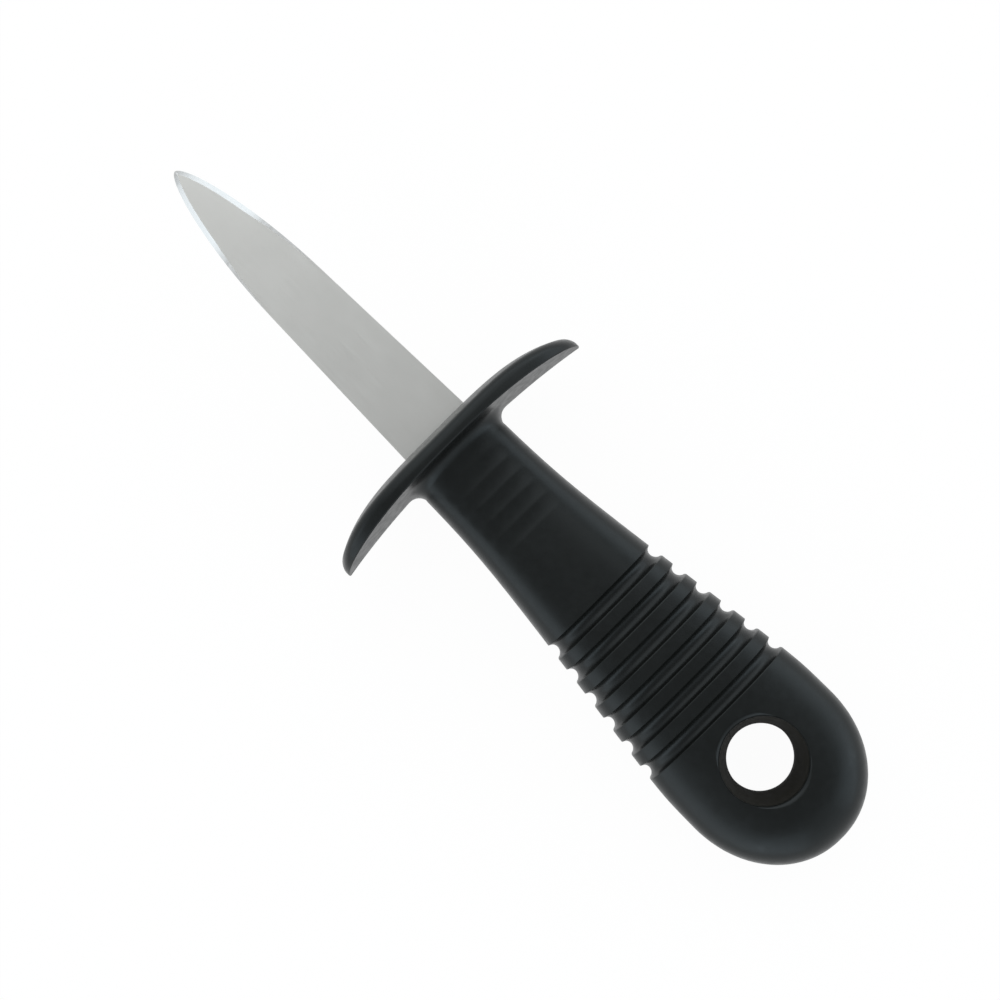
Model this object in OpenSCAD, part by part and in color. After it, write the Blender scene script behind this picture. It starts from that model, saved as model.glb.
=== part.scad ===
// Oyster knife: a pointed steel blade with a tang, and a one-piece plastic handle moulded round it.
// Lengths are in millimetres. The knife lies on its flat side: +X runs from the hanging hole to the
// blade's tip, +Y across the blade, +Z up. The origin is the middle of the hanging hole.

/* [Blade] */
// Length of the blade outside the handle, from the guard to the tip
blade_len = 66.3; // [50:0.1:90]
// Width of the blade where it leaves the guard
blade_root_w = 14.7; // [12:0.1:17]
// Width of the blade where its straight sides end and the point begins
blade_point_w = 12.4; // [9:0.1:14]
// Length of the pointed end
point_len = 30; // [18:0.5:40]
// Thickness of the blade, ground on both faces
blade_t = 2; // [1.2:0.1:3]
// Thickness left at the blunt edge
edge_t = 0.4; // [0.2:0.05:0.8]
// Width of the ground bevel along each edge
bevel_w = 0.95; // [0.6:0.05:2]
// Distance from the tip over which the bevel keeps its full width
bevel_full_len = 14; // [6:0.5:20]
// Distance from the tip at which the bevel has run out
bevel_end_len = 31; // [24:0.5:40]

/* [Tang] */
// Depth to which the blade's full width goes into the guard
shoulder_depth = 4; // [2:0.5:6]
// Steel left on each side of the tang and shoulders, which aren't ground as the blade is
stock_margin = 0.1; // [0.05:0.05:0.3]
// Width of the tang
tang_w = 9; // [6:0.5:12]
// Length of the tang behind the blade's shoulders
tang_len = 48; // [30:1:56]
// Diameter of the holes that anchor the tang in the plastic
tang_hole_d = 4; // [2:0.5:5]
// Distance between the anchor holes
tang_hole_pitch = 16; // [8:1:20]
// Number of anchor holes
tang_hole_count = 2; // [1:1:2]

/* [Guard] */
// Width of the guard, across the blade
guard_w = 58.5; // [44:0.5:70]
// Height of the guard, square to the blade
guard_h = 27; // [22:0.5:32]
// Thickness of the guard at the middle
guard_t = 5.6; // [4.5:0.1:8]
// Thickness of the guard's rim
guard_rim_t = 2.4; // [2:0.1:3]
// Distance that the front of the guard sweeps back at its ends
guard_sweep = 5.4; // [3:0.1:8]
// Distance that the front of the guard falls back at its top and bottom
guard_dome = 1.4; // [0.5:0.1:2]
// Radius of the rim's front edge
guard_edge_r = 1; // [0.5:0.1:1.5]
// Radius of the fillet between the guard and the neck
guard_fillet_r = 2.5; // [1:0.1:3]

/* [Handle] */
// Length of the handle, from the front of the guard to the end of the butt
handle_len = 103.7; // [95:0.1:125]
// Width of the neck behind the guard
neck_w = 19.6; // [17:0.1:22]
// Thickness of the neck
neck_h = 16; // [13:0.1:18]
// Width of the handle at its widest, beside the hanging hole
belly_w = 34.8; // [30:0.1:40]
// Thickness of the grip at its thickest
grip_h = 20; // [18:0.1:24]
// Thickness of the handle at the hanging hole
butt_h = 18; // [15:0.1:21]
// Length over which the butt narrows to its end, seen from above
butt_round_len = 20.1; // [15:0.1:28]
// Length over which the butt thins to its end, seen from the side
butt_thin_len = 12; // [7:0.1:14]

/* [Thumb ridges] */
// Number of shallow scallops across each flat of the neck
scallop_count = 5; // [1:1:6]
// Distance between the ridges that part the scallops
scallop_pitch = 3.1; // [2:0.1:3.6]
// Depth of the scallops
scallop_depth = 0.1; // [0.05:0.01:0.3]
// Width of the scallops across the neck
scallop_w = 13; // [8:0.5:14]

/* [Grip grooves] */
// Number of grooves round the grip
groove_count = 6; // [1:1:7]
// Distance between neighbouring grooves
groove_pitch = 5.4; // [4:0.1:6]
// Radius of a groove's round bottom
groove_r = 1.5; // [0.8:0.05:1.8]
// Depth of a groove
groove_depth = 1.25; // [0.4:0.05:1.4]
// Width by which a groove's mouth is eased on each side
groove_ease = 0.25; // [0.1:0.05:0.4]
// Distance from the hanging hole's middle to the nearest groove's middle
groove_start = 12.8; // [12:0.1:16]

/* [Hanging hole] */
// Distance from the end of the butt to the middle of the hole
hole_from_butt = 20.6; // [18:0.1:26]
// Diameter of the hole at its waist
hole_d = 12.5; // [8:0.1:14]
// Length of the straight waist
hole_land = 3; // [1:0.1:4]
// Diameter of the hole at each face, before the lip's rounding
hole_mouth_d = 15.8; // [15:0.1:17]
// Radius of the rounded lip at each face
hole_lip_r = 1.2; // [0.5:0.1:1.5]

/* [Hidden] */
steel = [0.72, 0.73, 0.71];
black_plastic = [0.11, 0.13, 0.13];

// Points round each section of the handle
section_points = 48;
// Exponents of the superellipse sections: 2 is an ellipse, a larger one is squarer
guard_squareness = 2.5;
neck_squareness = 3;
butt_squareness = 2.5;
plan_squareness = 2.05;
side_squareness = 2.3;
// Exponent of the curve of the blade's point: a smaller one is blunter
point_power = 0.6;
// Least half-width of the ridge along the point, where the two bevels meet, and its most as a
// share of the blade's half-width
ridge_half_w = 0.12;
ridge_share = 0.4;
// Chamfer of the blade's sides where they have no bevel, and the bevel's width at which it is the
// blunt edge
arris = 0.05;
arris_blend = 0.4;
// Exponents of the curves of the guard's front and back, across it and up it
sweep_power = 3.75;
back_power = 2.3;
dome_power = 2.6;
// Half-width of the grip along its straight taper: the width gained for each millimetre towards the butt
taper_slope = 0.14;
// Distance from the guard's front at which the taper would leave the neck
taper_offset = 21.7;
// Width of the rounding where the taper meets the neck and the belly, and what it adds or takes off
neck_blend = 1.6;
belly_blend = 0.5;
neck_gain = 0.2;
belly_loss = 0.1;
// Distance from the fillet behind the guard to the first thumb ridge
scallops_gap = 1.3;
// How far a shape runs on into the one it joins, and a cutter past the surface it cuts
lap = 0.5;
overrun = 3;

tip_x = handle_len - hole_from_butt + blade_len;
guard_x = handle_len - hole_from_butt;
butt_x = -hole_from_butt;
shoulder_x = guard_x - shoulder_depth;
tang_end_x = shoulder_x - tang_len;
neck_x = guard_x - guard_t - guard_fillet_r;
grooves_end_x = groove_start + (groove_count - 1) * groove_pitch;
groove_half_w = sqrt(pow(groove_r, 2) - pow(groove_r - groove_depth, 2));
// Middle of the thickest stretch of the grip
crown_x = (groove_start + grooves_end_x) / 2;
// Where the plan view's curve and the side view's curve of the butt begin
plan_round_x = butt_x + butt_round_len;
side_round_x = butt_x + butt_thin_len;
scallops_x = neck_x - scallops_gap;

function mix(a, b, u) = a + (b - a) * u;
function clamp01(u) = min(1, max(0, u));
function ease(u) = (1 - cos(180 * clamp01(u))) / 2;
// Rounded versions of max and min: k is how wide the rounding is
function smooth_max(a, b, k) = (a + b + sqrt(pow(a - b, 2) + k * k)) / 2;
function smooth_min(a, b, k) = (a + b - sqrt(pow(a - b, 2) + k * k)) / 2;
function power_cos(t, n) = sign(cos(t)) * pow(abs(cos(t)), 2 / n);
function power_sin(t, n) = sign(sin(t)) * pow(abs(sin(t)), 2 / n);
// Quarter of a superellipse: 1 at u = 0, falling to 0 at u = 1
function quarter(u, n) = pow(1 - pow(clamp01(u), n), 1 / n);

// Points [y, z] of a superellipse with the given half-width, half-height and squareness
function oval(half_w, half_h, n) = [
    for (i = [0 : section_points - 1])
    let (t = i * 360 / section_points)
    [half_w * power_cos(t, n), half_h * power_sin(t, n)]
];
function at_x(x, outline) = [for (p = outline) [x, p[0], p[1]]];

// A closed skin over rings of points that share one count, with a point at each end.
// The rings run towards -X and each ring turns from +Y to +Z.
module loft(first_point, rings, last_point) {
    n = len(rings[0]);
    last = len(rings) * n + 1;
    polyhedron(
        points = concat([first_point], [for (ring = rings) each ring], [last_point]),
        faces = concat(
            [for (i = [0 : n - 1]) [0, 1 + (i + 1) % n, 1 + i]],
            [for (r = [0 : len(rings) - 2], i = [0 : n - 1])
                let (a = 1 + r * n + i, b = 1 + r * n + (i + 1) % n)
                each [[a, b, b + n], [a, b + n, a + n]]],
            [for (i = [0 : n - 1]) [last, last - n + i, last - n + (i + 1) % n]]
        ),
        convexity = 10
    );
}

// Blade
function blade_half_w(d) =
    let (straight = mix(blade_point_w, blade_root_w, (d - point_len) / (blade_len - point_len)) / 2)
    straight * pow(1 - pow(clamp01(1 - d / point_len), 2), point_power);
// Distance across the blade from its edge to its flat
function blade_flat_inset(d) =
    bevel_w * clamp01((bevel_end_len - d) / (bevel_end_len - bevel_full_len));
function blade_section(d) =
    let (
        w = blade_half_w(d),
        inset = blade_flat_inset(d),
        flat = max(min(ridge_half_w, ridge_share * w), w - inset),
        rise = (blade_t - edge_t) / 2,
        z = inset > w ? edge_t / 2 + rise * w / inset : blade_t / 2,
        edge_z = mix(blade_t / 2 - arris, edge_t / 2, clamp01(inset / arris_blend))
    )
    at_x(tip_x - d, [
        [w, edge_z], [flat, z], [-flat, z], [-w, edge_z],
        [-w, -edge_z], [-flat, -z], [flat, -z], [w, -edge_z]
    ]);

// The ground blade, from its tip to just inside the shoulders. Its stations crowd towards the tip.
module blade_body() {
    point_steps = 14;
    crowding = 1.7;
    side_steps = 4;
    point_stations = [for (i = [1 : point_steps]) bevel_end_len * pow(i / point_steps, crowding)];
    side_stations = [for (i = [1 : side_steps]) mix(bevel_end_len, blade_len, i / side_steps)];
    root = blade_len + lap;
    loft([tip_x, 0, 0], [for (d = concat(point_stations, side_stations, [root])) blade_section(d)],
        [tip_x - root, 0, 0]);
}

// The shoulders behind the guard's front and the tang behind them, with its anchor holes
module tang() {
    shoulder_w = blade_root_w + 2 * stock_margin;
    linear_extrude(height = blade_t + 2 * stock_margin, center = true)
        difference() {
            union() {
                translate([shoulder_x, -shoulder_w / 2])
                    square([shoulder_depth, shoulder_w]);
                translate([tang_end_x, -tang_w / 2])
                    square([tang_len + lap, tang_w]);
            }
            for (i = [0 : tang_hole_count - 1])
                translate([tang_end_x + tang_w / 2 + i * tang_hole_pitch, 0])
                    circle(d = tang_hole_d, $fn = 48);
        }
}

module blade() {
    color(steel) union() {
        blade_body();
        tang();
    }
}

// Guard: x of its front face and of its drafted back face, for a point y, z of the section
function guard_front(y, z) =
    guard_x - guard_sweep * pow(abs(2 * y / guard_w), sweep_power)
    - guard_dome * pow(abs(2 * z / guard_h), dome_power);
function guard_back(y, z) =
    guard_x - guard_t
    - (guard_sweep + guard_rim_t - guard_t) * pow(abs(2 * y / guard_w), back_power)
    + (guard_t - guard_dome - guard_rim_t) * abs(2 * z / guard_h);
function guard_front_ring(inset, back) =
    [for (p = oval(guard_w / 2 - inset, guard_h / 2 - inset, guard_squareness))
        [guard_front(p[0], p[1]) - back, p[0], p[1]]];
function guard_back_ring(half_w, half_h, n, back) =
    [for (p = oval(half_w, half_h, n)) [guard_back(p[0], p[1]) - back, p[0], p[1]]];

function guard_rings() =
    let (
        face = [for (f = [0.2, 0.4, 0.6, 0.8])
            [for (p = oval(guard_w / 2 * f, (guard_h / 2 - guard_edge_r) * f, guard_squareness))
                [guard_front(p[0], p[1]), p[0], p[1]]]],
        edge = [for (t = [0, 30, 60, 90])
            guard_front_ring(guard_edge_r * (1 - sin(t)), guard_edge_r * (1 - cos(t)))],
        foot_w = neck_w / 2 + guard_fillet_r,
        foot_h = neck_h / 2 + guard_fillet_r,
        back = [for (u = [0, 0.3, 0.6, 0.85])
            guard_back_ring(mix(guard_w / 2, foot_w, u), mix(guard_h / 2, foot_h, u),
                mix(guard_squareness, neck_squareness, u), 0)],
        fillet = [for (t = [0, 30, 60])
            guard_back_ring(foot_w - guard_fillet_r * sin(t), foot_h - guard_fillet_r * sin(t),
                neck_squareness, guard_fillet_r * (1 - cos(t)))]
    )
    concat(face, edge, back, fillet);

// Grip: half-width and half-thickness of the handle at x, without its grooves
function grip_half_w(x) =
    let (
        line = neck_w / 2 + taper_slope * (guard_x - taper_offset - x),
        wide = smooth_max(neck_w / 2 - neck_gain, line, neck_blend),
        tapered = smooth_min(belly_w / 2 + belly_loss, wide, belly_blend)
    )
    tapered * quarter((plan_round_x - x) / butt_round_len, plan_squareness);
function grip_half_h(x) =
    let (
        thick = x > crown_x
            ? mix(grip_h, neck_h, ease((x - crown_x) / (neck_x - crown_x)))
            : mix(grip_h, butt_h, ease((crown_x - x) / crown_x))
    )
    thick / 2 * quarter((side_round_x - x) / butt_thin_len, side_squareness);
function squareness(x) = mix(butt_squareness, neck_squareness, ease(x / neck_x));
function scallop(u, y) =
    scallop_depth * (1 - pow(2 * u - 1, 2)) * ease((scallop_w / 2 + 1 - abs(y)) / 2);

function grip_ring(x, cut = 0) = at_x(x, oval(grip_half_w(x) - cut, grip_half_h(x) - cut, squareness(x)));
function scallop_ring(x, u) =
    [for (p = grip_ring(x)) [p[0], p[1], p[2] - sign(p[2]) * scallop(u, p[1])]];
function groove_rings(x) = [
    for (side = [1, -1])
    each let (
        eased = [groove_half_w + groove_ease, 0],
        round_part = [for (t = [72, 48, 24]) [groove_r * sin(t), groove_depth - groove_r * (1 - cos(t))]],
        half = concat([eased], round_part)
    )
    side > 0
        ? [for (p = concat(half, [[0, groove_depth]])) grip_ring(x + p[0], p[1])]
        : [for (i = [len(half) - 1 : -1 : 0]) grip_ring(x - half[i][0], half[i][1])]
];

function handle_rings() =
    let (
        scallop_steps = [0, 0.2, 0.5, 0.8],
        scallops = [for (i = [0 : scallop_count - 1], u = scallop_steps)
            scallop_ring(scallops_x - (i + u) * scallop_pitch, u)],
        scallops_end = scallops_x - scallop_count * scallop_pitch,
        taper_start = grooves_end_x + groove_half_w + groove_ease,
        taper = [for (i = [0 : 3]) grip_ring(mix(scallops_end, taper_start, i / 4))],
        grooves = [for (i = [groove_count - 1 : -1 : 0]) each groove_rings(groove_start + i * groove_pitch)],
        butt_start = groove_start - groove_half_w - groove_ease,
        flat = [for (i = [1 : 2]) grip_ring(mix(butt_start, plan_round_x, i / 3))],
        butt = [for (t = [0 : 9 : 81]) grip_ring(plan_round_x - butt_round_len * sin(t))],
        butt_end = [for (t = [86]) grip_ring(plan_round_x - butt_round_len * sin(t))]
    )
    concat(guard_rings(), [grip_ring(neck_x)], scallops, taper, grooves, flat, butt, butt_end);

// The hanging hole: a straight waist, drafted towards both faces, with a rounded lip at each
module hanging_hole() {
    face = butt_h / 2;
    lip = [for (t = [0 : 15 : 90])
        [hole_mouth_d / 2 + hole_lip_r * (1 - cos(t)), face - hole_lip_r * (1 - sin(t))]];
    half = concat([[0, 0], [hole_d / 2, 0], [hole_d / 2, hole_land / 2]], lip,
        [[hole_mouth_d / 2 + hole_lip_r, face + overrun], [0, face + overrun]]);
    for (side = [0, 1])
        mirror([0, 0, side])
            rotate_extrude($fn = 96)
                polygon(half);
}

module handle() {
    color(black_plastic) difference() {
        loft([guard_x, 0, 0], handle_rings(), [butt_x, 0, 0]);
        blade_body();
        tang();
        hanging_hole();
    }
}

blade();
handle();
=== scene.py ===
"""Oyster knife: the looks of the blade and the moulded handle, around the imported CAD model.

Shapes are worked out in millimetres, in the CAD frame: +X towards the blade's tip, +Y across the
blade, +Z up, with the origin at the middle of the hanging hole. Meshes are written in metres.
"""
import math

import bpy
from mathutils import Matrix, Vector


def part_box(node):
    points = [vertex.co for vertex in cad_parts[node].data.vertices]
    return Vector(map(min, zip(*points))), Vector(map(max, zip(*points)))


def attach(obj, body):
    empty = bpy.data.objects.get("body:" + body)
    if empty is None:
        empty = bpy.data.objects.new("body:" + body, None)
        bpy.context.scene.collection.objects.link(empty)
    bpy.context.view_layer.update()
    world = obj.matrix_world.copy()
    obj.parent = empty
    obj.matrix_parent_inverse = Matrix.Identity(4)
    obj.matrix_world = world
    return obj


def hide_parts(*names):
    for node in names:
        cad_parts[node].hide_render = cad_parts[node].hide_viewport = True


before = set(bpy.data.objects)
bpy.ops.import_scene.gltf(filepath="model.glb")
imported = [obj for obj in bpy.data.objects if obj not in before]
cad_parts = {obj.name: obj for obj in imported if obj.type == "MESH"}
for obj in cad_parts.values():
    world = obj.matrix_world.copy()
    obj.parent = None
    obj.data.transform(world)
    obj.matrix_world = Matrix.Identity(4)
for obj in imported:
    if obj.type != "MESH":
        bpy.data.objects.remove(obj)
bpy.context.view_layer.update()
MM = 0.001

# Sizes of the knife, in millimetres. The blade's node is thicker inside the handle, where it is
# unground, by a margin on each face.
low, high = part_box("handle")
BUTT_X, GUARD_X = low[0] / MM, high[0] / MM
GUARD_W = (high[1] - low[1]) / MM
GUARD_H = (high[2] - low[2]) / MM
blade_low, blade_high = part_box("blade")
TIP_X = blade_high[0] / MM
STOCK_MARGIN = 0.1
BLADE_T = (blade_high[2] - blade_low[2]) / MM - 2 * STOCK_MARGIN
BLADE_LEN = TIP_X - GUARD_X

BLADE_ROOT_W, BLADE_POINT_W, POINT_LEN, POINT_POWER = 14.7, 12.4, 30.0, 0.6
EDGE_T, BEVEL_W, BEVEL_FULL, BEVEL_END = 0.4, 0.95, 14.0, 31.0
RIDGE_HALF_W, RIDGE_SHARE = 0.12, 0.4
ARRIS, ARRIS_BLEND = 0.05, 0.4
HIDDEN_LEN = 3.9
GUARD_T, GUARD_RIM_T, GUARD_SWEEP, GUARD_DOME = 5.6, 2.4, 5.4, 1.4
GUARD_EDGE_R, GUARD_BACK_R, FILLET_R = 1.5, 0.2, 2.5
NECK_W, NECK_H = 19.6, 16.0
BELLY_W, GRIP_H, BUTT_H = 34.8, 20.0, 18.0
NECK_GAIN, BELLY_LOSS = 0.2, 0.1
BUTT_ROUND_LEN, BUTT_THIN_LEN = 20.1, 12.0
SCALLOPS, SCALLOP_PITCH, SCALLOP_DEPTH, SCALLOP_W = 5, 3.1, 0.1, 13.0
SCALLOP_FADE, SCALLOPS_GAP = 2.0, 1.3
GROOVES, GROOVE_PITCH, GROOVE_R, GROOVE_DEPTH, GROOVE_EASE = 6, 5.4, 1.5, 1.25, 0.25
GROOVE_START, GROOVE_SOFTNESS, GROOVE_TRIM = 12.8, 0.16, 0.04
HOLE_D, HOLE_LAND, MOUTH_D, LIP_R = 12.5, 3.0, 15.8, 1.2
SQUARE_GUARD, SQUARE_NECK, SQUARE_BUTT = 2.5, 3.0, 2.5
SQUARE_PLAN, SQUARE_SIDE = 2.05, 2.3
SWEEP_POWER, BACK_POWER, DOME_POWER = 3.75, 2.3, 2.6
TAPER_SLOPE, TAPER_START = 0.14, 21.7
NECK_BLEND, BELLY_BLEND = 1.6, 0.5

NECK_X = GUARD_X - GUARD_T - FILLET_R
GROOVES_END = GROOVE_START + (GROOVES - 1) * GROOVE_PITCH
GROOVE_HALF_W = math.sqrt(GROOVE_R ** 2 - (GROOVE_R - GROOVE_DEPTH) ** 2)
CROWN_X = (GROOVE_START + GROOVES_END) / 2
PLAN_ROUND_X = BUTT_X + BUTT_ROUND_LEN
SIDE_ROUND_X = BUTT_X + BUTT_THIN_LEN
SCALLOPS_X = NECK_X - SCALLOPS_GAP

# Points round each section of the handle and round its hole, and how far apart its sections lie
ROUND = 192
HOLE_ROUND = 128
STEP = 0.6
# Angles, in degrees, over which the shading of two faces is smooth
BLADE_SMOOTH, HANDLE_SMOOTH = 12, 34
# Least z of a face's normal on the flat of the blade
FLAT_NORMAL = 0.97
# Distance that the hole's cutter reaches past the handle's faces
OVERRUN = 3.0


def mix(a, b, u):
    return a + (b - a) * u


def clamp01(u):
    return min(1.0, max(0.0, u))


def ease(u):
    return (1 - math.cos(math.pi * clamp01(u))) / 2


def smooth_max(a, b, k):
    return (a + b + math.hypot(a - b, k)) / 2


def smooth_min(a, b, k):
    return (a + b - math.hypot(a - b, k)) / 2


def quarter(u, n):
    return (1 - clamp01(u) ** n) ** (1 / n)


def power(value, n):
    return math.copysign(abs(value) ** (2 / n), value)


def oval(half_w, half_h, n):
    """Points (y, z) of a superellipse."""
    points = []
    for i in range(ROUND):
        t = i * 2 * math.pi / ROUND
        points.append((half_w * power(math.cos(t), n), half_h * power(math.sin(t), n)))
    return points


def mesh_object(name, points, faces):
    mesh = bpy.data.meshes.new(name)
    mesh.from_pydata([Vector(p) * MM for p in points], [], faces)
    mesh.validate()
    mesh.update()
    made = bpy.data.objects.new(name, mesh)
    bpy.context.scene.collection.objects.link(made)
    return made


def loft(name, first, rings, last):
    """A closed skin over rings that run towards -X, each turning from +Y to +Z."""
    n = len(rings[0])
    points = [first] + [p for ring in rings for p in ring] + [last]
    end = len(points) - 1
    faces = [(0, 1 + i, 1 + (i + 1) % n) for i in range(n)]
    for r in range(len(rings) - 1):
        for i in range(n):
            a = 1 + r * n + i
            b = 1 + r * n + (i + 1) % n
            faces.append((a, a + n, b + n, b))
    faces += [(end, end - n + (i + 1) % n, end - n + i) for i in range(n)]
    piece = mesh_object(name, points, faces)
    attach(piece, "root")
    return piece


def apply_modifiers(piece):
    graph = bpy.context.evaluated_depsgraph_get()
    mesh = bpy.data.meshes.new_from_object(piece.evaluated_get(graph))
    piece.modifiers.clear()
    piece.data = mesh


def smooth_by_angle(piece, degrees):
    piece.data.shade_smooth()
    piece.data.set_sharp_from_angle(angle=math.radians(degrees))


# Blade
def blade_half_w(d):
    along = (d - POINT_LEN) / (BLADE_LEN - POINT_LEN)
    pointed = (1 - clamp01(1 - d / POINT_LEN) ** 2) ** POINT_POWER
    return mix(BLADE_POINT_W, BLADE_ROOT_W, along) / 2 * pointed


def blade_section(d):
    """Outline of the blade, d from its tip: flats, bevels and blunt edges."""
    w = blade_half_w(d)
    inset = BEVEL_W * clamp01((BEVEL_END - d) / (BEVEL_END - BEVEL_FULL))
    flat = max(min(RIDGE_HALF_W, RIDGE_SHARE * w), w - inset)
    full = BLADE_T / 2
    z = mix(EDGE_T / 2, full, w / inset) if inset > w else full
    edge_z = mix(full - ARRIS, EDGE_T / 2, clamp01(inset / ARRIS_BLEND))
    x = TIP_X - d
    middle = flat / 2
    half = [(w, edge_z), (flat, z), (middle, z), (-middle, z), (-flat, z), (-w, edge_z)]
    return [(x, y, z) for y, z in half] + [(x, y, -z) for y, z in reversed(half)]


def make_blade():
    point_steps, side_steps, crowding = 70, 40, 1.7
    stations = [BEVEL_END * (i / point_steps) ** crowding for i in range(1, point_steps + 1)]
    root = BLADE_LEN + HIDDEN_LEN
    stations += [mix(BEVEL_END, root, i / side_steps) for i in range(1, side_steps + 1)]
    rings = [blade_section(d) for d in stations]
    piece = loft("blade_steel", (TIP_X, 0, 0), rings, (TIP_X - root, 0, 0))
    smooth_by_angle(piece, BLADE_SMOOTH)
    piece.data.materials.append(steel_material())
    piece.data.materials.append(bevel_material())
    # Faces off the flat take the bevel material, whose darker colour is partly painted shade.
    for face in piece.data.polygons:
        face.material_index = 0 if abs(face.normal.z) > FLAT_NORMAL else 1
    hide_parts("blade")


# Guard
def guard_front(y, z):
    swept = GUARD_SWEEP * abs(2 * y / GUARD_W) ** SWEEP_POWER
    return GUARD_X - swept - GUARD_DOME * abs(2 * z / GUARD_H) ** DOME_POWER


def guard_back(y, z):
    swept = (GUARD_SWEEP + GUARD_RIM_T - GUARD_T) * abs(2 * y / GUARD_W) ** BACK_POWER
    drafted = (GUARD_T - GUARD_DOME - GUARD_RIM_T) * abs(2 * z / GUARD_H)
    return GUARD_X - GUARD_T - swept + drafted


def guard_rings():
    """Rings over the guard's front, round its edge, over its back and down the fillet."""
    half_w, half_h = GUARD_W / 2, GUARD_H / 2
    front_steps, edge_steps, back_steps, fillet_steps = 25, 8, 31, 9
    rings = []
    for i in range(1, front_steps):
        f = i / front_steps
        outline = oval((half_w - GUARD_EDGE_R) * f, (half_h - GUARD_EDGE_R) * f, SQUARE_GUARD)
        rings.append([(guard_front(y, z), y, z) for y, z in outline])
    for i in range(edge_steps + 1):
        t = i / edge_steps * math.pi / 2
        inset = GUARD_EDGE_R * (1 - math.sin(t))
        back = GUARD_EDGE_R * (1 - math.cos(t))
        outline = oval(half_w - inset, half_h - inset, SQUARE_GUARD)
        rings.append([(guard_front(y, z) - back, y, z) for y, z in outline])
    foot_w, foot_h = NECK_W / 2 + FILLET_R, NECK_H / 2 + FILLET_R
    outline = oval(half_w, half_h, SQUARE_GUARD)
    rings.append([(guard_back(y, z) + GUARD_BACK_R, y, z) for y, z in outline])
    for i in range(back_steps):
        u = i / back_steps
        w = mix(half_w - GUARD_BACK_R, foot_w, u)
        h = mix(half_h - GUARD_BACK_R, foot_h, u)
        outline = oval(w, h, mix(SQUARE_GUARD, SQUARE_NECK, u))
        rings.append([(guard_back(y, z), y, z) for y, z in outline])
    for i in range(fillet_steps):
        t = i / fillet_steps * math.pi / 2
        inset = FILLET_R * math.sin(t)
        outline = oval(foot_w - inset, foot_h - inset, SQUARE_NECK)
        back = FILLET_R * (1 - math.cos(t))
        rings.append([(guard_back(y, z) - back, y, z) for y, z in outline])
    return rings


# Grip
def grip_half_w(x):
    line = NECK_W / 2 + TAPER_SLOPE * (GUARD_X - TAPER_START - x)
    wide = smooth_max(NECK_W / 2 - NECK_GAIN, line, NECK_BLEND)
    tapered = smooth_min(BELLY_W / 2 + BELLY_LOSS, wide, BELLY_BLEND)
    return tapered * quarter((PLAN_ROUND_X - x) / BUTT_ROUND_LEN, SQUARE_PLAN)


def grip_half_h(x):
    if x > CROWN_X:
        thick = mix(GRIP_H, NECK_H, ease((x - CROWN_X) / (NECK_X - CROWN_X)))
    else:
        thick = mix(GRIP_H, BUTT_H, ease((CROWN_X - x) / CROWN_X))
    return thick / 2 * quarter((SIDE_ROUND_X - x) / BUTT_THIN_LEN, SQUARE_SIDE)


def groove_cut(x):
    """Depth of the groove at x: a round bottom, with its mouth eased into the surface."""
    nearest = round((x - GROOVE_START) / GROOVE_PITCH)
    off = abs(x - GROOVE_START - min(GROOVES - 1, max(0, nearest)) * GROOVE_PITCH)
    if off > GROOVE_HALF_W + GROOVE_EASE:
        return 0.0
    arc = GROOVE_DEPTH - GROOVE_R + math.sqrt(max(0, GROOVE_R ** 2 - off ** 2))
    return max(0.0, smooth_max(0.0, arc, GROOVE_SOFTNESS) - GROOVE_TRIM)


def scallop_cut(x, y):
    """Depth of the thumb scallops at x, y."""
    u = (SCALLOPS_X - x) / SCALLOP_PITCH
    if not 0 < u < SCALLOPS:
        return 0.0
    floor = 1 - (2 * (u % 1) - 1) ** 2
    return SCALLOP_DEPTH * floor * ease((SCALLOP_W / 2 - abs(y)) / SCALLOP_FADE + 0.5)


def grip_ring(x):
    cut = groove_cut(x)
    n = mix(SQUARE_BUTT, SQUARE_NECK, ease(x / NECK_X))
    ring = []
    for y, z in oval(grip_half_w(x) - cut, grip_half_h(x) - cut, n):
        ring.append((x, y, z - math.copysign(scallop_cut(x, y), z)))
    return ring


def grip_stations():
    """Places of the sections: fine through the grooves and the scallops, coarser between them."""
    near = GROOVE_HALF_W + GROOVE_EASE + STEP
    groove_step, scallop_step, butt_steps = STEP / 5, STEP / 2, 60
    stations = []
    x = NECK_X
    while x > PLAN_ROUND_X:
        stations.append(x)
        grooved = GROOVE_START - near < x < GROOVES_END + near
        scalloped = x > SCALLOPS_X - SCALLOPS * SCALLOP_PITCH - STEP
        x -= groove_step if grooved else scallop_step if scalloped else STEP
    for i in range(butt_steps):
        stations.append(PLAN_ROUND_X - BUTT_ROUND_LEN * math.sin(i / butt_steps * math.pi / 2))
    return stations


def hole_profile():
    """Half of the hanging hole's outline (radius, z), from the waist to above the face."""
    face = BUTT_H / 2
    lip_steps = 12
    outline = [(HOLE_D / 2, 0), (HOLE_D / 2, HOLE_LAND / 2)]
    for i in range(lip_steps + 1):
        t = i / lip_steps * math.pi / 2
        radius = MOUTH_D / 2 + LIP_R * (1 - math.cos(t))
        outline.append((radius, face - LIP_R * (1 - math.sin(t))))
    outline.append((MOUTH_D / 2 + LIP_R, face + OVERRUN))
    return outline


def hole_cutter():
    """The hole as a solid, turned by half a step so that its points lie off the handle's own."""
    n = HOLE_ROUND
    half = hole_profile()
    whole = [(r, -z) for r, z in reversed(half)] + half[1:]
    points, faces = [], []
    for r, z in whole:
        for i in range(n):
            t = (i + 0.5) * 2 * math.pi / n
            points.append((r * math.cos(t), r * math.sin(t), z))
    for k in range(len(whole) - 1):
        for i in range(n):
            a, b = k * n + i, k * n + (i + 1) % n
            faces.append((a, b, b + n, a + n))
    top = (len(whole) - 1) * n
    faces.append(tuple(range(n - 1, -1, -1)))
    faces.append(tuple(range(top, top + n)))
    return mesh_object("hole_cutter", points, faces)


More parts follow.
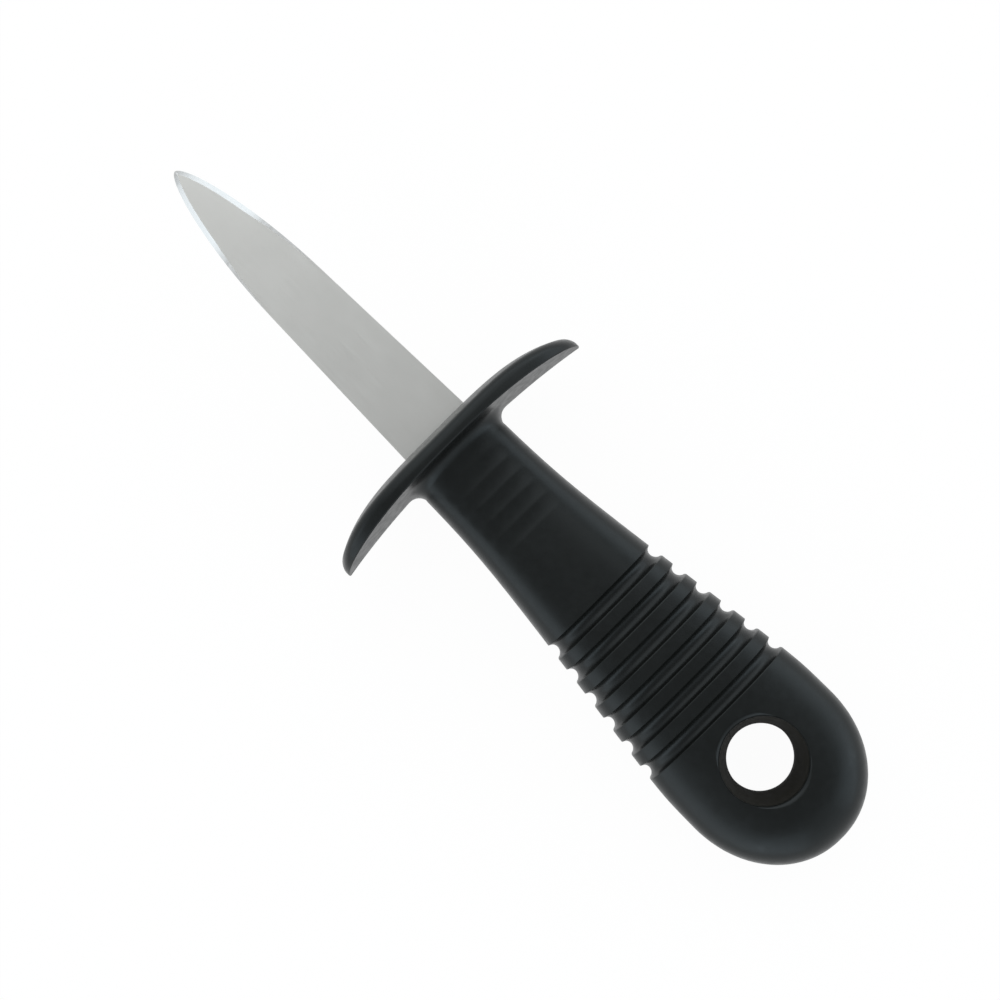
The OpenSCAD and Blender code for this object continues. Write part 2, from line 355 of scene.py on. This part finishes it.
def make_handle():
    rings = guard_rings() + [grip_ring(x) for x in grip_stations()]
    piece = loft("handle_moulding", (GUARD_X, 0, 0), rings, (BUTT_X, 0, 0))
    cutter = hole_cutter()
    boolean = piece.modifiers.new("hanging hole", "BOOLEAN")
    boolean.object = cutter
    boolean.operation = "DIFFERENCE"
    boolean.solver = "EXACT"
    apply_modifiers(piece)
    bpy.data.objects.remove(cutter)
    smooth_by_angle(piece, HANDLE_SMOOTH)
    piece.data.materials.clear()
    piece.data.materials.append(plastic_material())
    piece.data.materials.append(bore_material())
    tolerance = 0.1
    wall_r = (MOUTH_D / 2 + tolerance) * MM
    for face in piece.data.polygons:
        inside = math.hypot(face.center.x, face.center.y) < wall_r
        face.material_index = 1 if inside else 0
    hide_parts("handle")


# Materials
NOISE_LOW, NOISE_HIGH = 0.3, 0.7
PLASTIC_IOR = 1.5


class Shader:
    """A material with short helpers for its nodes."""

    def __init__(self, name):
        self.material = bpy.data.materials.new(name)
        self.material.use_nodes = True
        self.tree = self.material.node_tree
        self.principled = self.tree.nodes["Principled BSDF"]

    def node(self, kind, inputs=None, **settings):
        made = self.tree.nodes.new(kind)
        for key, value in settings.items():
            setattr(made, key, value)
        for key, value in (inputs or {}).items():
            made.inputs[key].default_value = value
        return made

    def link(self, source, output, target, socket):
        self.tree.links.new(source.outputs[output], target.inputs[socket])

    def place(self, scale):
        """Object coordinates, stretched by scale."""
        coordinates = self.node("ShaderNodeTexCoord")
        mapping = self.node("ShaderNodeMapping", {"Scale": scale})
        self.link(coordinates, "Object", mapping, "Vector")
        return mapping

    def noise(self, per_metre, detail, stretch=(1, 1, 1)):
        """Noise with about per_metre cells in a metre, times stretch along each axis."""
        mapping = self.place(stretch)
        noise = self.node("ShaderNodeTexNoise", {"Scale": per_metre, "Detail": detail})
        self.link(mapping, "Vector", noise, "Vector")
        return noise

    def colour(self, noise, dark, light):
        """Base colour from dark to light over the middle of a noise's values."""
        ramp = self.node("ShaderNodeValToRGB")
        first, last = ramp.color_ramp.elements
        first.position, last.position = NOISE_LOW, NOISE_HIGH
        first.color, last.color = (*dark, 1), (*light, 1)
        self.link(noise, 0, ramp, "Fac")
        self.link(ramp, "Color", self.principled, "Base Color")

    def roughness(self, noise, smooth, rough):
        """Roughness from smooth to rough over the middle of a noise's values."""
        limits = {1: NOISE_LOW, 2: NOISE_HIGH, 3: smooth, 4: rough}
        mapped = self.node("ShaderNodeMapRange", limits)
        self.link(noise, 0, mapped, 0)
        self.link(mapped, 0, self.principled, "Roughness")

    def bump(self, *heights):
        """Chains bumps of (height node, strength, depth in metres)."""
        last = None
        for source, strength, depth in heights:
            bump = self.node("ShaderNodeBump", {"Strength": strength, "Distance": depth})
            self.link(source, 0, bump, "Height")
            if last:
                self.link(last, "Normal", bump, "Normal")
            last = bump
        self.link(last, "Normal", self.principled, "Normal")


def steel_material():
    """Satin steel: fine brushing along the blade, which varies its gloss, and a faint cloud."""
    shader = Shader("satin_steel")
    shader.principled.inputs["Metallic"].default_value = 1.0
    brushing = shader.noise(1.0, 2.0, stretch=(120, 4200, 120))
    cloud = shader.noise(150.0, 3.0)
    grain = shader.noise(5200.0, 2.0)
    shader.colour(cloud, (0.705, 0.715, 0.695), (0.735, 0.745, 0.725))
    shader.roughness(brushing, 0.29, 0.34)
    shader.bump((grain, 0.05, 0.00001))
    return shader.material


def bevel_material():
    """The ground bevels and edges: glossier, with the wheel's marks across them; darker by
    painted shade.
    """
    shader = Shader("ground_bevel_painted_shade")
    shader.principled.inputs["Metallic"].default_value = 1.0
    marks = shader.noise(1.0, 3.0, stretch=(1600, 300, 300))
    # Darker than the flats' steel: painted shade that tones down the light the tilted bevels
    # catch.
    shader.colour(marks, (0.47, 0.48, 0.48), (0.55, 0.56, 0.56))
    shader.roughness(marks, 0.22, 0.34)
    shader.bump((marks, 0.08, 0.00002))
    return shader.material


def plastic_material():
    """Semi-matte black plastic: a fine moulded grain over a faint orange peel."""
    shader = Shader("black_polypropylene")
    shader.principled.inputs["IOR"].default_value = PLASTIC_IOR
    shader.principled.inputs["Specular IOR Level"].default_value = 0.27
    shader.principled.inputs["Specular Tint"].default_value = (0.86, 0.96, 1.0, 1)
    cloud = shader.noise(60.0, 3.0)
    patches = shader.noise(700.0, 3.0)
    orange_peel = shader.noise(450.0, 1.0)
    grain = shader.noise(3200.0, 3.0)
    shader.colour(cloud, (0.0036, 0.0040, 0.0036), (0.0048, 0.0052, 0.0048))
    shader.roughness(patches, 0.28, 0.38)
    shader.bump((orange_peel, 0.08, 0.00008), (grain, 0.2, 0.00003))
    return shader.material


def bore_material():
    """The wall of the hanging hole: the same plastic, duller and a little browner."""
    shader = Shader("dull_bore_wall")
    shader.principled.inputs["IOR"].default_value = PLASTIC_IOR
    shader.principled.inputs["Specular IOR Level"].default_value = 0.12
    patches = shader.noise(500.0, 3.0)
    shader.colour(patches, (0.0060, 0.0058, 0.0040), (0.0095, 0.0090, 0.0062))
    shader.roughness(patches, 0.75, 0.85)
    shader.bump((patches, 0.15, 0.00005))
    return shader.material


def floor_material():
    """White to the camera, with a faint shadow, and white in reflections."""
    shader = Shader("white_floor")
    p = shader.principled
    p.inputs["Base Color"].default_value = (0.9, 0.9, 0.9, 1)
    p.inputs["Roughness"].default_value = 0.9
    glow = shader.node("ShaderNodeEmission", {"Color": (1, 1, 1, 1), "Strength": 1.0})
    path = shader.node("ShaderNodeLightPath")
    camera_share, gloss_share = 0.965, 0.8
    seen = shader.node("ShaderNodeMath", {1: camera_share}, operation="MULTIPLY")
    shader.link(path, "Is Camera Ray", seen, 0)
    gloss = shader.node("ShaderNodeMath", {1: gloss_share}, operation="MULTIPLY")
    shader.link(path, "Is Glossy Ray", gloss, 0)
    most = shader.node("ShaderNodeMath", operation="ADD")
    shader.link(seen, 0, most, 0)
    shader.link(gloss, 0, most, 1)
    blend = shader.node("ShaderNodeMixShader")
    shader.link(most, 0, blend, 0)
    shader.link(p, 0, blend, 1)
    shader.link(glow, 0, blend, 2)
    shader.link(blend, 0, shader.tree.nodes["Material Output"], "Surface")
    return shader.material


# Stage
def make_floor():
    """A floor just under the guard's rim and the underside of the butt."""
    width, gap = 6.0, 0.15
    half_h = GUARD_H / 2
    rim_x = guard_back(0, half_h) + GUARD_RIM_T / 2
    tilt = math.atan2(half_h - BUTT_H / 2, rim_x)
    place = (rim_x * MM, 0, -(half_h + gap) * MM)
    bpy.ops.mesh.primitive_plane_add(size=width, location=place)
    floor = bpy.context.object
    floor.name = "floor"
    floor.rotation_euler = (0, tilt, 0)
    floor.data.materials.append(floor_material())


def make_camera():
    """Straight above, rolled so that the blade points to the upper left of the image."""
    focal, sensor = 100.0, 36.0
    photo_width_mm = 180.47
    centre_x, centre_y, roll = 66.0, 0.4, 225
    data = bpy.data.cameras.new("camera")
    data.lens = focal
    data.sensor_width = sensor
    data.clip_start = 0.01
    camera = bpy.data.objects.new("camera", data)
    height = photo_width_mm * focal / sensor
    camera.location = (centre_x * MM, centre_y * MM, height * MM)
    camera.rotation_euler = (0, 0, math.radians(roll))
    bpy.context.scene.collection.objects.link(camera)
    bpy.context.scene.camera = camera


def area_light(name, place, target, size, watts, colour):
    data = bpy.data.lights.new(name, "AREA")
    data.shape = "RECTANGLE"
    data.size, data.size_y = size
    data.energy = watts
    data.color = colour
    light = bpy.data.objects.new(name, data)
    light.location = place
    light.rotation_euler = (Vector(target) - Vector(place)).to_track_quat("-Z", "Y").to_euler()
    bpy.context.scene.collection.objects.link(light)


def make_lights():
    middle = (0.06, 0, 0)
    area_light("key", (0.75, -0.35, 0.75), middle, (1.4, 1.4), 5.5, (1, 1, 1))
    area_light("fill_a", (-0.7, 0.6, 0.5), middle, (0.8, 0.8), 2.2, (0.82, 0.92, 1))
    area_light("fill_b", (-0.7, -0.6, 0.5), middle, (0.8, 0.8), 2.2, (0.82, 0.92, 1))
    area_light("side_a", (0.05, 0.9, 0.25), middle, (1.4, 0.7), 3, (0.88, 0.95, 1))
    area_light("side_b", (0.05, -0.9, 0.25), middle, (1.4, 0.7), 3, (0.88, 0.95, 1))


def make_world():
    """A grey zenith over a brighter horizon, and white to the camera."""
    world = bpy.data.worlds.new("studio")
    bpy.context.scene.world = world
    world.use_nodes = True
    nodes, links = world.node_tree.nodes, world.node_tree.links
    nodes.clear()
    coordinates = nodes.new("ShaderNodeTexCoord")
    split = nodes.new("ShaderNodeSeparateXYZ")
    links.new(coordinates.outputs["Generated"], split.inputs[0])
    ramp = nodes.new("ShaderNodeValToRGB")
    horizon, zenith = ramp.color_ramp.elements
    horizon.position, zenith.position = 0.35, 0.9
    horizon.color = (0.95, 0.98, 1, 1)
    zenith.color = (0.4, 0.4, 0.4, 1)
    links.new(split.outputs["Z"], ramp.inputs["Fac"])
    light = nodes.new("ShaderNodeBackground")
    light.inputs["Strength"].default_value = 1.0
    links.new(ramp.outputs["Color"], light.inputs["Color"])
    white = nodes.new("ShaderNodeBackground")
    white.inputs["Color"].default_value = (1, 1, 1, 1)
    path = nodes.new("ShaderNodeLightPath")
    blend = nodes.new("ShaderNodeMixShader")
    links.new(path.outputs["Is Camera Ray"], blend.inputs[0])
    links.new(light.outputs[0], blend.inputs[1])
    links.new(white.outputs[0], blend.inputs[2])
    output = nodes.new("ShaderNodeOutputWorld")
    links.new(blend.outputs[0], output.inputs["Surface"])


make_blade()
make_handle()
make_floor()
make_camera()
make_lights()
make_world()
bpy.context.scene.view_settings.view_transform = "Standard"
